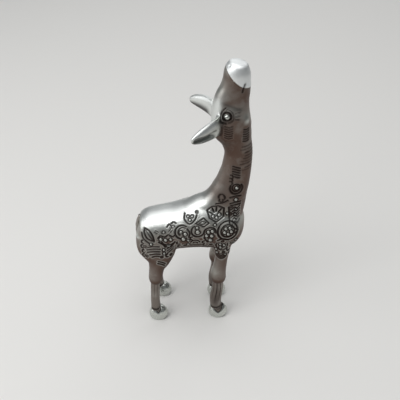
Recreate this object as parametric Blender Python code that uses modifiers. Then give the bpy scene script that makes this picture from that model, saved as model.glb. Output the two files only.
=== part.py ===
"""Giraffe figurine that looks straight up: brass castings brazed together on spigots.

The body, neck, head, ears and upper legs are drawn as one sculpted form of elliptical tubes. It is
then cut into the castings, and each joint gets a spigot, a socket and a braze gap.
+X is forward, +Y is the animal's left, +Z is up. The soles stand on Z = 0.
"""

import math

import bmesh
import bpy
from mathutils import Vector

MM = 0.001

# Joints, in millimetres.
GAP = 0.3  # between any two castings
NECK_SEAT = (18.0, 0.0, 68.5)  # a point on the cut between the torso and the neck
NECK_SEAT_NORMAL = (0.45, 0.0, 0.89)
HEAD_SEAT = (22.4, 0.0, 103.6)  # a point on the cut between the neck and the head
HEAD_SEAT_NORMAL = (-0.12, 0.0, 0.99)
HIP_Z = 42.4  # cut between the torso and the upper legs
KNEE_Z = 25.7  # lower end of the upper legs
EAR_SEAT = 0.26  # share of the ear's curve that is the boss on the head

# Spigots, in millimetres: radius, and how far each enters its socket.
NECK_SPIGOT = (4.0, 5.0)
HEAD_SPIGOT = (3.0, 4.0)
HIP_SPIGOT = (2.0, 4.0)
SHANK_SPIGOT = (1.3, 3.0)
EAR_SPIGOT = (0.8, 2.5)
SPIGOT_ROOT = 2.0  # length of a spigot inside its own casting

# Sculpted form, in millimetres. A station is x, y, z, half depth and half width.
# Half depth lies in the plane of symmetry, half width runs across the animal.
TORSO = (
    (-24.4, 0, 53.6, 4.2, 3.8),
    (-22.8, 0, 53.4, 8.5, 7.7),
    (-18.6, 0, 53.6, 10.8, 9.9),
    (-12.0, 0, 54.4, 11.6, 10.6),
    (-5.0, 0, 55.6, 11.9, 11.0),
    (2.0, 0, 57.0, 12.9, 11.2),
    (9.0, 0, 58.0, 14.3, 11.3),
    (15.0, 0, 57.3, 13.9, 11.0),
    (20.0, 0, 55.0, 12.4, 10.2),
    (24.0, 0, 53.2, 8.8, 8.0),
    (26.2, 0, 52.4, 4.0, 4.0),
)
WITHERS = (
    (-3.0, 0, 60.6, 6.6, 6.5),
    (5.5, 0, 64.8, 7.6, 7.2),
    (12.8, 0, 69.3, 7.0, 6.8),
    (17.8, 0, 77.5, 6.2, 6.2),
    (20.8, 0, 87.0, 5.6, 5.4),
)
NECK = (
    (15.5, 0, 56.0, 9.5, 8.0),
    (17.6, 0, 66.0, 9.2, 7.8),
    (19.2, 0, 75.0, 8.8, 7.2),
    (21.6, 0, 83.0, 7.4, 6.3),
    (22.9, 0, 92.0, 6.6, 5.7),
    (23.1, 0, 99.0, 6.3, 5.5),
    (21.4, 0, 106.0, 7.0, 5.9),
)
HEAD = (
    (22.6, 0, 102.0, 6.0, 5.2),
    (21.4, 0, 106.0, 7.5, 6.0),
    (19.7, 0, 110.5, 8.8, 6.6),
    (19.2, 0, 115.5, 8.4, 6.7),
    (19.1, 0, 120.0, 7.9, 6.3),
    (19.5, 0, 124.0, 7.4, 5.6),
    (20.6, 0, 128.5, 6.5, 5.4),
    (21.1, 0, 133.0, 5.7, 5.5),
    (21.2, 0, 136.6, 5.4, 5.4),
    (21.8, 0, 139.8, 3.8, 4.2),
)
FRONT_LEG = (
    (15.4, 5.2, 54.0, 6.5, 4.6),
    (16.7, 6.2, 47.0, 4.4, 4.2),
    (16.6, 6.8, 41.5, 3.3, 3.4),
    (15.8, 7.1, 35.0, 3.4, 3.3),
    (15.1, 7.4, 30.5, 3.9, 3.6),
    (15.1, 7.5, 27.3, 4.0, 3.6),
    (15.1, 7.5, 24.8, 3.4, 3.0),
)
HIND_LEG = (
    (-15.1, 4.8, 54.0, 9.7, 5.6),
    (-15.0, 5.7, 48.0, 9.7, 5.4),
    (-14.4, 6.4, 43.5, 8.5, 4.8),
    (-14.4, 6.9, 39.0, 5.9, 4.1),
    (-15.4, 7.3, 35.0, 4.0, 3.6),
    (-16.1, 7.7, 30.3, 3.6, 3.4),
    (-16.3, 7.9, 27.3, 3.5, 3.3),
    (-16.4, 8.0, 24.8, 2.6, 2.6),
)
FRONT_SHANK = (
    (14.9, 7.5, 25.1, 2.7, 2.6),
    (14.9, 7.6, 20.0, 2.8, 2.6),
    (14.0, 7.7, 12.5, 3.0, 2.7),
    (14.2, 7.7, 7.4, 2.8, 2.7),
)
HIND_SHANK = (
    (-16.5, 8.0, 25.1, 2.4, 2.4),
    (-16.8, 8.1, 21.0, 2.3, 2.3),
    (-17.1, 8.3, 13.0, 2.3, 2.3),
    (-17.0, 8.4, 7.4, 2.5, 2.5),
)
LEFT_HIND_STEP = 1.7  # the left hind foot stands this far ahead of the right one

# The ear's half depth lies across the leaf's thickness, its half width runs up the leaf.
EAR_ROOT = (15.2, 3.4, 113.6)
EAR_BEND = (9.4, 14.2, 116.0)
EAR_TIP = (1.9, 17.9, 113.8)
EAR_OPENS_TO = (0.75, 0.66, 0.0)
EAR_LEAF = (
    (0.0, 2.2, 4.7),
    (0.25, 1.9, 4.6),
    (0.5, 1.8, 4.2),
    (0.75, 1.6, 3.3),
    (0.92, 1.1, 2.2),
    (1.0, 0.6, 1.2),
)
BOWL_LEAF = (
    (0.34, 0.6, 1.8),
    (0.5, 1.5, 2.8),
    (0.72, 1.2, 2.2),
    (0.9, 0.5, 1.0),
)
BOWL_SHIFT = 1.3
EAR_PEG_END = (18.0, 2.5, 113.0)  # the ear's spigot points here, inside the head
EAR_REACH = ((-4.0, 2.0, 106.0), (14.0, 24.0, 122.0))  # corners of the box that holds the left ear

HOOF_HALF = (4.9, 3.7, 5.2)  # half length, half width and half height before the sole is cut
HOOF_CENTRE_Z = 2.8
FRONT_HOOF = (15.3, 7.6)
HIND_HOOF = (-15.8, 8.4)

EYE_CENTRE = (17.1, 6.1, 118.6)
EYE_RADIUS = 1.4
TAIL = (
    (-22.4, 0, 62.0, 0.8, 1.2),
    (-23.7, 0, 57.8, 1.0, 1.2),
    (-24.1, 0, 53.0, 0.9, 1.0),
    (-23.7, 0, 48.5, 1.0, 1.3),
    (-22.8, 0, 45.3, 0.7, 1.1),
)

FORM_STEPS = 4  # rings between two stations of the sculpted form
PIECE_STEPS = 2  # rings between two stations of a shank or the tail
BODY_VOXEL = 0.8
BODY_SMOOTHING = 8
BODY_KEEP = 0.13  # share of the sculpted form's faces that the castings keep
LEG_BOX = 13.0  # reach of the box that holds one upper leg, before and behind its hip
ROUND_SIDES = 16  # sides of a shank, spigot, socket, hoof and eye
TAIL_SIDES = 12
BIG = 150.0  # size of a cutter that removes everything on one side of a plane

SILVER = (0.50, 0.45, 0.41, 1.0)
BRIGHT = (0.66, 0.62, 0.57, 1.0)


def clear_scene():
    """Removes what a new Blender file holds."""
    for found in list(bpy.data.objects):
        bpy.data.objects.remove(found, do_unlink=True)


def move_to(shape, collection):
    """Puts a shape in one collection only."""
    for holder in list(shape.users_collection):
        holder.objects.unlink(shape)
    collection.objects.link(shape)


def metal(name, colour, roughness):
    """A plated metal finish."""
    made = bpy.data.materials.new(name)
    made.use_nodes = True
    shader = made.node_tree.nodes["Principled BSDF"]
    shader.inputs["Base Color"].default_value = colour
    shader.inputs["Metallic"].default_value = 1.0
    shader.inputs["Roughness"].default_value = roughness
    return made


class Bench:
    """The castings with their two finishes, and the cutters that shape them."""

    def __init__(self):
        self.castings = bpy.data.collections.new("giraffe_figurine")
        self.cutters = bpy.data.collections.new("cutters")
        for collection in (self.castings, self.cutters):
            bpy.context.scene.collection.children.link(collection)
        self.patinated = metal("patinated_plate", SILVER, 0.28)
        self.polished = metal("polished_plate", BRIGHT, 0.2)

    def casting(self, name, mesh, finish=None):
        """Adds a casting, shaded smooth."""
        mesh.materials.clear()
        mesh.materials.append(finish or self.patinated)
        mesh.shade_smooth()
        made = bpy.data.objects.new(name, mesh)
        self.castings.objects.link(made)
        return made

    def cutter(self, name, mesh):
        """Adds a shape that only cuts or joins, left out of the model and drawn as wire."""
        return self.as_cutter(name, bpy.data.objects.new(name, mesh))

    def as_cutter(self, name, shape):
        """Turns a new object into a cutter."""
        shape.name = name
        shape.hide_render = True
        shape.display_type = "WIRE"
        move_to(shape, self.cutters)
        return shape


def curve_value(before, start, end, after, t):
    """A number on the Catmull-Rom curve from start to end, at share t of the way."""
    slope = (end - before) * t
    bend = (2 * before - 5 * start + 4 * end - after) * t**2
    twist = (3 * start - before - 3 * end + after) * t**3
    return 0.5 * (2 * start + slope + bend + twist)


def curve_through(rows, steps):
    """Rows of numbers on a Catmull-Rom curve through the given rows."""
    points = [tuple(float(value) for value in row) for row in rows]
    padded = [points[0]] + points + [points[-1]]
    out = []
    for i in range(len(points) - 1):
        a, b, c, d = padded[i : i + 4]
        for step in range(steps):
            t = step / steps
            out.append(tuple(curve_value(*four, t) for four in zip(a, b, c, d)))
    out.append(points[-1])
    return out


def tube_mesh(name, stations, across=(0, 1, 0), sides=24, steps=FORM_STEPS):
    """A closed tube of elliptical rings, square to its path, from stations in millimetres."""
    rows = curve_through(stations, steps)
    centres = [Vector(row[:3]) * MM for row in rows]
    across = Vector(across).normalized()
    shape = bmesh.new()
    rings = []
    for i, row in enumerate(rows):
        along = centres[min(i + 1, len(rows) - 1)] - centres[max(i - 1, 0)]
        depth_way = across.cross(along).normalized()
        width_way = along.cross(depth_way).normalized()
        deep = depth_way * row[3] * MM
        wide = width_way * row[4] * MM
        ring = []
        for side in range(sides):
            angle = 2 * math.pi * side / sides
            ring.append(shape.verts.new(centres[i] + deep * math.cos(angle) + wide * math.sin(angle)))
        rings.append(ring)
    for lower, upper in zip(rings, rings[1:]):
        for side in range(sides):
            following = (side + 1) % sides
            shape.faces.new((lower[side], lower[following], upper[following], upper[side]))
    shape.faces.new(reversed(rings[0]))
    shape.faces.new(rings[-1])
    bmesh.ops.recalc_face_normals(shape, faces=shape.faces)
    mesh = bpy.data.meshes.new(name)
    shape.to_mesh(mesh)
    shape.free()
    return mesh


def on_side(stations, side):
    """Stations of a paired piece: side is 1 for the left and -1 for the right."""
    return [(row[0], row[1] * side, *row[2:]) for row in stations]


def on_side_point(point, side):
    """A point or direction of a paired piece."""
    return (point[0], point[1] * side, point[2])


def corners_on_side(corners, side):
    """The low and high corners of a box, mirrored for the right side."""
    (low_x, low_y, low_z), (high_x, high_y, high_z) = corners
    low_y, high_y = sorted((low_y * side, high_y * side))
    return (low_x, low_y, low_z), (high_x, high_y, high_z)


def stepped(stations, step):
    """A leg whose foot is moved forward by the step, and whose hip stays."""
    return [(row[0] + step * max(0.0, 1 - row[2] / HIP_Z), *row[1:]) for row in stations]


def ear_point(share, side):
    """A point on the curve from an ear's root, round its bend, to its tip."""
    root = Vector(on_side_point(EAR_ROOT, side))
    bend = Vector(on_side_point(EAR_BEND, side))
    tip = Vector(on_side_point(EAR_TIP, side))
    return root.lerp(bend, share).lerp(bend.lerp(tip, share), share)


def ear_stations(leaf, side, shift=0.0):
    """Stations along an ear, moved towards its opening by the shift."""
    opening = Vector(on_side_point(EAR_OPENS_TO, side))
    return [(*(ear_point(share, side) + opening * shift), deep, wide) for share, deep, wide in leaf]


def evaluated_mesh(shape):
    """The mesh that a shape's modifiers make."""
    depsgraph = bpy.context.evaluated_depsgraph_get()
    return bpy.data.meshes.new_from_object(shape.evaluated_get(depsgraph), depsgraph=depsgraph)


def hind_step(side):
    """How far a hind foot stands ahead."""
    return LEFT_HIND_STEP if side == 1 else 0.0


def sculpted_form(bench):
    """Torso, neck, head, ears and upper legs as one smooth surface."""
    joined = bmesh.new()
    tubes = [tube_mesh("form", stations) for stations in (TORSO, WITHERS, NECK, HEAD)]
    for side in (1, -1):
        tubes.append(tube_mesh("form", on_side(FRONT_LEG, side)))
        tubes.append(tube_mesh("form", on_side(stepped(HIND_LEG, hind_step(side)), side)))
        tubes.append(tube_mesh("form", ear_stations(EAR_LEAF, side), across=(0, 0, 1)))
    for tube in tubes:
        joined.from_mesh(tube)
        bpy.data.meshes.remove(tube)
    mesh = bpy.data.meshes.new("sculpted_form")
    joined.to_mesh(mesh)
    joined.free()
    form = bench.cutter("sculpted_form", mesh)
    remesh = form.modifiers.new("one_skin", "REMESH")
    remesh.mode = "VOXEL"
    remesh.voxel_size = BODY_VOXEL * MM
    smooth = form.modifiers.new("soften", "SMOOTH")
    smooth.factor = 0.5
    smooth.iterations = BODY_SMOOTHING
    thin = form.modifiers.new("thin_out", "DECIMATE")
    thin.ratio = BODY_KEEP
    thin.use_symmetry = True
    thin.symmetry_axis = "Y"
    return evaluated_mesh(form)


def boolean(piece, cutter, operation):
    """Adds an exact Boolean."""
    made = piece.modifiers.new(cutter.name, "BOOLEAN")
    made.operation = operation
    made.solver = "EXACT"
    made.object = cutter


def half_space(bench, name, point, normal, offset=0.0):
    """A large block on the far side of a plane, towards its normal."""
    normal = Vector(normal).normalized()
    bpy.ops.mesh.primitive_cube_add(size=BIG * MM)
    block = bpy.context.object
    block.rotation_euler = normal.to_track_quat("Z", "Y").to_euler()
    block.location = (Vector(point) + normal * (BIG / 2 + offset)) * MM
    return bench.as_cutter(name, block)


def box(bench, name, low, high):
    """A block between two corners."""
    bpy.ops.mesh.primitive_cube_add(size=1.0)
    block = bpy.context.object
    block.scale = (Vector(high) - Vector(low)) * MM
    block.location = (Vector(high) + Vector(low)) * MM / 2
    return bench.as_cutter(name, block)


def rod(bench, name, start, end, radius):
    """A round bar between two points, for spigots and the sockets they enter."""
    start = Vector(start)
    end = Vector(end)
    length = (end - start).length
    bpy.ops.mesh.primitive_cylinder_add(vertices=ROUND_SIDES, radius=radius * MM, depth=length * MM)
    bar = bpy.context.object
    bar.rotation_euler = (end - start).to_track_quat("Z", "Y").to_euler()
    bar.location = (start + end) * MM / 2
    return bench.as_cutter(name, bar)


def ball(centre, radius):
    """A new sphere."""
    rings = ROUND_SIDES // 2
    bpy.ops.mesh.primitive_uv_sphere_add(segments=ROUND_SIDES, ring_count=rings, radius=radius * MM)
    made = bpy.context.object
    made.location = Vector(centre) * MM
    return made


def spigot(bench, inner, outer, seat, axis, size):
    """Joins two castings: a rod on the inner one enters a socket in the outer one."""
    seat = Vector(seat)
    axis = Vector(axis).normalized()
    radius, length = size
    root = seat - axis * SPIGOT_ROOT
    bar = rod(bench, f"{inner.name}_spigot", root, seat + axis * length, radius)
    hole = rod(bench, f"{inner.name}_socket", root, seat + axis * (length + GAP), radius + GAP)
    boolean(inner, bar, "UNION")
    boolean(outer, hole, "DIFFERENCE")


def split(bench, name, seat, normal):
    """Two cutters that part the sculpted form at a plane and leave the braze gap between."""
    beyond = half_space(bench, f"beyond_{name}", seat, normal, -GAP / 2)
    before = half_space(bench, f"before_{name}", seat, -Vector(normal), -GAP / 2)
    return before, beyond


def side_name(side):
    """The animal's own left or right."""
    return "left" if side == 1 else "right"


def make_trunk(bench, form):
    """Torso, neck and head: the sculpted form cut at the two seats and at the hips."""
    torso = bench.casting("torso", form.copy())
    neck = bench.casting("neck", form.copy())
    head = bench.casting("head", form.copy())
    below_neck, above_torso = split(bench, "neck_seat", NECK_SEAT, NECK_SEAT_NORMAL)
    below_head, above_neck = split(bench, "head_seat", HEAD_SEAT, HEAD_SEAT_NORMAL)
    hips = half_space(bench, "hips", (0, 0, HIP_Z), (0, 0, -1), -GAP / 2)
    boolean(torso, above_torso, "DIFFERENCE")
    boolean(torso, hips, "DIFFERENCE")
    boolean(neck, below_neck, "DIFFERENCE")
    boolean(neck, above_neck, "DIFFERENCE")
    boolean(head, below_head, "DIFFERENCE")
    spigot(bench, neck, torso, NECK_SEAT, -Vector(NECK_SEAT_NORMAL), NECK_SPIGOT)
    spigot(bench, neck, head, HEAD_SEAT, HEAD_SEAT_NORMAL, HEAD_SPIGOT)
    return torso, head


def make_ear(bench, form, head, side):
    """A leaf ear cut from the sculpted form, hollowed, on a spigot in its boss."""
    name = f"ear_{side_name(side)}"
    seat = ear_point(EAR_SEAT, side)
    along = ear_point(EAR_SEAT + 0.1, side) - seat
    ear = bench.casting(name, form.copy())
    inside, outside = split(bench, name, seat, along)
    boolean(ear, inside, "DIFFERENCE")
    boolean(ear, box(bench, f"around_{name}", *corners_on_side(EAR_REACH, side)), "INTERSECT")
    boolean(head, outside, "DIFFERENCE")
    bowl = tube_mesh(f"{name}_bowl", ear_stations(BOWL_LEAF, side, BOWL_SHIFT), across=(0, 0, 1))
    boolean(ear, bench.cutter(f"{name}_bowl", bowl), "DIFFERENCE")
    spigot(bench, ear, head, seat, Vector(on_side_point(EAR_PEG_END, side)) - seat, EAR_SPIGOT)


def make_upper_leg(bench, form, torso, name, stations, side):
    """An upper leg down to its knee sleeve, on a spigot in the torso."""
    hip = Vector((stations[2][0], stations[2][1] * side, HIP_Z))
    leg = bench.casting(f"{name}_upper_leg", form.copy())
    low = (hip.x - LEG_BOX, min(0.0, side * BIG), KNEE_Z)
    high = (hip.x + LEG_BOX, max(0.0, side * BIG), HIP_Z - GAP / 2)
    boolean(leg, box(bench, f"around_{name}_leg", low, high), "INTERSECT")
    spigot(bench, leg, torso, hip, (0, 0, 1), HIP_SPIGOT)
    return leg


def make_shank(bench, leg, name, stations):
    """A lower leg, on a spigot in the knee sleeve."""
    shank = bench.casting(f"{name}_shank", tube_mesh(name, stations, sides=ROUND_SIDES, steps=PIECE_STEPS))
    spigot(bench, shank, leg, stations[0][:3], (0, 0, 1), SHANK_SPIGOT)
    return shank


def make_hoof(bench, shank, name, centre, ankle):
    """A bulb hoof with a flat sole and a seat for the shank. The ankle is the shank's last station."""
    hoof = ball((0, 0, 0), 1.0)
    hoof.name = f"{name}_hoof"
    hoof.scale = HOOF_HALF
    bpy.ops.object.transform_apply(location=False, rotation=False, scale=True)
    hoof.location = Vector(centre) * MM
    hoof.data.materials.append(bench.polished)
    hoof.data.shade_smooth()
    move_to(hoof, bench.castings)
    boolean(hoof, half_space(bench, f"floor_{name}", (0, 0, 0), (0, 0, -1)), "DIFFERENCE")
    foot = Vector(ankle[:3])
    over = Vector((foot.x, foot.y, HOOF_CENTRE_Z + HOOF_HALF[2]))
    seat = rod(bench, f"{name}_hoof_seat", foot - Vector((0, 0, GAP)), over, ankle[3] + GAP)
    boolean(hoof, seat, "DIFFERENCE")
    spigot(bench, shank, hoof, foot, (0, 0, -1), SHANK_SPIGOT)


def make_legs(bench, form, torso):
    """The four legs in three castings each."""
    for side in (1, -1):
        for place, upper, lower, hoof_at, step in (
            ("front", FRONT_LEG, FRONT_SHANK, FRONT_HOOF, 0.0),
            ("hind", HIND_LEG, HIND_SHANK, HIND_HOOF, hind_step(side)),
        ):
            name = f"{place}_{side_name(side)}"
            lower = on_side(stepped(lower, step), side)
            leg = make_upper_leg(bench, form, torso, name, upper, side)
            shank = make_shank(bench, leg, name, lower)
            make_hoof(bench, shank, name, (hoof_at[0] + step, hoof_at[1] * side, HOOF_CENTRE_Z), lower[-1])


def make_eye(bench, head, side):
    """A bead eye in a round socket."""
    name = f"eye_{side_name(side)}"
    centre = on_side_point(EYE_CENTRE, side)
    eye = ball(centre, EYE_RADIUS)
    eye.name = name
    eye.data.materials.append(bench.polished)
    eye.data.shade_smooth()
    move_to(eye, bench.castings)
    boolean(head, bench.as_cutter(f"{name}_socket", ball(centre, EYE_RADIUS + GAP)), "DIFFERENCE")


def make_tail(bench, torso):
    """A slim tail that lies in a bed down the rump."""
    bench.casting("tail", tube_mesh("tail", TAIL, sides=TAIL_SIDES, steps=PIECE_STEPS))
    wider = [(x, y, z, deep + GAP, wide + GAP) for x, y, z, deep, wide in TAIL]
    wider[0] = (TAIL[0][0], 0, TAIL[0][2] + GAP, *wider[0][3:])
    wider[-1] = (TAIL[-1][0], 0, TAIL[-1][2] - GAP, *wider[-1][3:])
    bed = tube_mesh("tail_bed", wider, sides=TAIL_SIDES, steps=PIECE_STEPS)
    boolean(torso, bench.cutter("tail_bed", bed), "DIFFERENCE")


def stand_at_origin(bench):
    """Parents every shape to one empty, moved so that the animal's box is centred on the Z axis."""
    depsgraph = bpy.context.evaluated_depsgraph_get()
    places = []
    for casting in bench.castings.objects:
        shape = casting.evaluated_get(depsgraph)
        places += [casting.matrix_world @ vertex.co for vertex in shape.data.vertices]
    centre = [(min(at[i] for at in places) + max(at[i] for at in places)) / 2 for i in (0, 1)]
    holder = bpy.data.objects.new("giraffe", None)
    bpy.context.scene.collection.objects.link(holder)
    for shape in list(bench.castings.objects) + list(bench.cutters.objects):
        shape.parent = holder
    holder.location = (-centre[0], -centre[1], 0.0)


def main():
    """Builds every casting."""
    clear_scene()
    bench = Bench()
    form = sculpted_form(bench)
    torso, head = make_trunk(bench, form)
    make_legs(bench, form, torso)
    make_tail(bench, torso)
    for side in (1, -1):
        make_ear(bench, form, head, side)
        make_eye(bench, head, side)
    stand_at_origin(bench)


main()
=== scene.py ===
import math

import bmesh
import bpy
import numpy as np
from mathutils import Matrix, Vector


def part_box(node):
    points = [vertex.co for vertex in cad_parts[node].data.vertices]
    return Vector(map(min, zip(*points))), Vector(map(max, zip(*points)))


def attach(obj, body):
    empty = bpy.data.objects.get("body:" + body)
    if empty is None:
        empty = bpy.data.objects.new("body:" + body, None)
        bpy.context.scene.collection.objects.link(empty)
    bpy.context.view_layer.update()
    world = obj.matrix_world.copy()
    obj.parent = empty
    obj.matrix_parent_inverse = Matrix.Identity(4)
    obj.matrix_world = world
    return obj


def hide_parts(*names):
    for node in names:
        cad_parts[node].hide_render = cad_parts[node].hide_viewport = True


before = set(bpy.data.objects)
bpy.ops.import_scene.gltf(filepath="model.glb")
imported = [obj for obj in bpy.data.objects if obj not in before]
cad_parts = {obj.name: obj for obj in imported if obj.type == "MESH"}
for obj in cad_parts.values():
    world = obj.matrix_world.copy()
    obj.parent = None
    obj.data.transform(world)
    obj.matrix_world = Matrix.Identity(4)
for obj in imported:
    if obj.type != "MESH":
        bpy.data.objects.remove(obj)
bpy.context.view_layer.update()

# A cast and chased metal giraffe with its head thrown back. Its skin is made as one smooth form, chased
# with the marks of tracers and punches, and then cut at the CAD's joints into the separate castings.
# Lengths are in millimetres in the sculpted form's own frame: +X forward, +Y the animal's left.
MM = 0.001
FRONT_HOOF_X = 15.3  # where the form has its front hooves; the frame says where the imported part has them

# The sculpted form, as the CAD source has it. A station is x, y, z, half depth and half width.
TORSO = (
    (-24.4, 0, 53.6, 4.2, 3.8),
    (-22.8, 0, 53.4, 8.5, 7.7),
    (-18.6, 0, 53.6, 10.8, 9.9),
    (-12.0, 0, 54.4, 11.6, 10.6),
    (-5.0, 0, 55.6, 11.9, 11.0),
    (2.0, 0, 57.0, 12.9, 11.2),
    (9.0, 0, 58.0, 14.3, 11.3),
    (15.0, 0, 57.3, 13.9, 11.0),
    (20.0, 0, 55.0, 12.4, 10.2),
    (24.0, 0, 53.2, 8.8, 8.0),
    (26.2, 0, 52.4, 4.0, 4.0),
)
WITHERS = (
    (-3.0, 0, 60.6, 6.6, 6.5),
    (5.5, 0, 64.8, 7.6, 7.2),
    (12.8, 0, 69.3, 7.0, 6.8),
    (17.8, 0, 77.5, 6.2, 6.2),
    (20.8, 0, 87.0, 5.6, 5.4),
)
NECK = (
    (15.5, 0, 56.0, 9.5, 8.0),
    (17.6, 0, 66.0, 9.2, 7.8),
    (19.2, 0, 75.0, 8.8, 7.2),
    (21.6, 0, 83.0, 7.4, 6.3),
    (22.9, 0, 92.0, 6.6, 5.7),
    (23.1, 0, 99.0, 6.3, 5.5),
    (21.4, 0, 106.0, 7.0, 5.9),
)
HEAD = (
    (22.6, 0, 102.0, 6.0, 5.2),
    (21.4, 0, 106.0, 7.5, 6.0),
    (19.7, 0, 110.5, 8.8, 6.6),
    (19.2, 0, 115.5, 8.4, 6.7),
    (19.1, 0, 120.0, 7.9, 6.3),
    (19.5, 0, 124.0, 7.4, 5.6),
    (20.6, 0, 128.5, 6.5, 5.4),
    (21.1, 0, 133.0, 5.7, 5.5),
    (21.2, 0, 136.6, 5.4, 5.4),
    (21.8, 0, 139.8, 3.8, 4.2),
)
FRONT_LEG = (
    (15.4, 5.2, 54.0, 6.5, 4.6),
    (16.7, 6.2, 47.0, 4.4, 4.2),
    (16.6, 6.8, 41.5, 3.3, 3.4),
    (15.8, 7.1, 35.0, 3.4, 3.3),
    (15.1, 7.4, 30.5, 3.9, 3.6),
    (15.1, 7.5, 27.3, 4.0, 3.6),
    (15.1, 7.5, 24.8, 3.4, 3.0),
)
HIND_LEG = (
    (-15.1, 4.8, 54.0, 9.7, 5.6),
    (-15.0, 5.7, 48.0, 9.7, 5.4),
    (-14.4, 6.4, 43.5, 8.5, 4.8),
    (-14.4, 6.9, 39.0, 5.9, 4.1),
    (-15.4, 7.3, 35.0, 4.0, 3.6),
    (-16.1, 7.7, 30.3, 3.6, 3.4),
    (-16.3, 7.9, 27.3, 3.5, 3.3),
    (-16.4, 8.0, 24.8, 2.6, 2.6),
)
FRONT_SHANK = (
    (14.9, 7.5, 25.6, 2.7, 2.6),
    (14.9, 7.6, 20.0, 2.8, 2.6),
    (14.0, 7.7, 12.5, 3.0, 2.7),
    (14.2, 7.7, 6.4, 2.8, 2.7),
)
HIND_SHANK = (
    (-16.5, 8.0, 25.6, 2.4, 2.4),
    (-16.8, 8.1, 21.0, 2.3, 2.3),
    (-17.1, 8.3, 13.0, 2.3, 2.3),
    (-17.0, 8.4, 6.4, 2.5, 2.5),
)
HIP_Z = 42.4  # the upper legs part from the torso at this height
LEFT_HIND_STEP = 1.7  # how far the left hind foot stands ahead of the right one
NECK_SEAT = ((18.0, 0.0, 68.5), (0.45, 0.0, 0.89))  # a point on the joint and its normal
HEAD_SEAT = ((22.4, 0.0, 103.6), (-0.12, 0.0, 0.99))

EAR_ROOT = (15.2, 3.4, 113.6)
EAR_BEND = (9.4, 14.2, 116.0)
EAR_TIP = (1.9, 17.9, 113.8)
EAR_OPENS_TO = (0.75, 0.66, 0.0)
EAR_SEAT = 0.26  # share of the ear's curve where the ear parts from the head
EAR_JUNCTION = (14.6, 6.6, 118.2)  # where the upper rim flows into the head
EAR_LEAF = (  # share of the ear's curve, half depth and half width
    (0.0, 2.2, 4.7),
    (0.25, 1.9, 4.6),
    (0.5, 1.8, 4.2),
    (0.75, 1.6, 3.3),
    (0.92, 1.1, 2.2),
    (1.0, 0.6, 1.2),
)

HOOF_HALF = (4.9, 3.7, 5.2)  # half length, half width and half height of the bulb
HOOF_CENTRE_Z = 2.8
HIND_HOOF_X = -15.8
HOOF_Y = {"front": 7.6, "hind": 8.4}
HOOF_SIDES = 160
HOOF_ROWS = 80
HOOF_NOTCH = {"front": 0.28, "hind": 0.5}  # height of the V's point on the hoof's outer side, as a share
NOTCH_SLOPE = 0.62  # how fast the V rises on either side of its point
NOTCH_SPREAD = 0.9  # angle in radians at which the V stops rising
NOTCH_CUT = 0.07  # depth and width of the line along the V, as shares of the bulb's radius
FOOT_SET_IN = 0.03  # how far the leg's foot above the V lies inside the bulb
HOOF_POLISH = 0.95
FOOT_POLISH = 0.2

SHANK_FOOT_Z = 7.6  # where the shank meets the hoof
SHANK_POLISH = 0.2
FLUTES = 9
FLUTE_DEPTH = 0.13  # as a share of the shank's radius

EYE_CENTRE = (17.1, 6.1, 118.6)
EYE_LOOKS_TO = (-0.1, 0.95, 0.3)
EYE_RADIUS = 1.4
IRIS_RADIUS = 1.12
IRIS_WIDTH = 0.3
IRIS_DEPTH = 0.12

TAIL_TWIST = 40  # radians from root to tuft
STRAND_HEIGHT = 0.07  # as a share of the tail's radius
TAIL_POLISH = 0.35
TAIL = (
    (-22.4, 0, 62.0, 0.8, 1.2),
    (-23.7, 0, 57.8, 1.0, 1.2),
    (-24.1, 0, 53.0, 0.9, 1.0),
    (-23.7, 0, 48.5, 1.0, 1.3),
    (-22.8, 0, 45.3, 0.7, 1.1),
)

# The skin: voxel size, and smoothing as wide as the CAD form's.
SKIN_VOXEL = 0.22
CAD_VOXEL = 0.8
CAD_SMOOTHING = 8
NORMAL_REACH = 1.5  # a patch faces the mean way of the skin this near its centre
PATCH_MARGIN = 1.35  # a patch takes in this many times the reach asked for
DIRT_REACH = 0.34  # how far the blacking spreads beside a cut
DIRT_PER_DEPTH = 2.2  # so a cut 0.45 mm deep is fully blacked and has a full ridge beside it
RIDGE_GAP = 0.42  # from the lip of a cut to the ridge beside it
RIDGE_WIDTH = 0.2
RIDGE_HEIGHT = 0.1
MOAT_WIDTH = 0.28
MOAT_GAP = 0.12  # the moat keeps its full depth this far out from its bead
BLACKED_AT = 0.42  # a cut this deep is wholly black
DOWN_FACING_SHADE = 0.5  # painted shade: how dark the surfaces are that face down
MUZZLE_Z = 124  # the muzzle lies above this height
JAW_CORNER = (25.4, 4.2, 115.6)
# the centre of a painted highlight on the jaw's corner
JAW_HIGHLIGHT = (25.6, 4.4, 115.8)

# The camera stands where the photographer did, on the animal's right and above it.
CAMERA_TARGET = (6.165, 0.0, 70.59)
CAMERA_DISTANCE = 280.0
CAMERA_AZIMUTH = -1.64
CAMERA_ELEVATION = 38.0
CAMERA_LENS = 53.7


def form_shift():
    """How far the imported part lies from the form's own frame, read off a hoof, in millimetres."""
    low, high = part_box("front_right_hoof")
    return np.array(((low.x + high.x) / 2 / MM - FRONT_HOOF_X, 0.0, 0.0))


SHIFT = form_shift()


def placed(point):
    """A point of the form in the frame, in metres."""
    return Vector((np.array(point, float) + SHIFT) * MM)


# ---- tubes ----


def curve_value(before, start, end, after, t):
    """A number on the Catmull-Rom curve from start to end, at share t of the way."""
    slope = (end - before) * t
    bend = (2 * before - 5 * start + 4 * end - after) * t**2
    twist = (3 * start - before - 3 * end + after) * t**3
    return 0.5 * (2 * start + slope + bend + twist)


def curve_through(rows, steps):
    """Rows of numbers on a Catmull-Rom curve through the given rows."""
    points = [tuple(float(value) for value in row) for row in rows]
    padded = [points[0]] + points + [points[-1]]
    out = []
    for i in range(len(points) - 1):
        a, b, c, d = padded[i : i + 4]
        for step in range(steps):
            out.append(tuple(curve_value(*four, step / steps) for four in zip(a, b, c, d)))
    out.append(points[-1])
    return out


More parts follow.
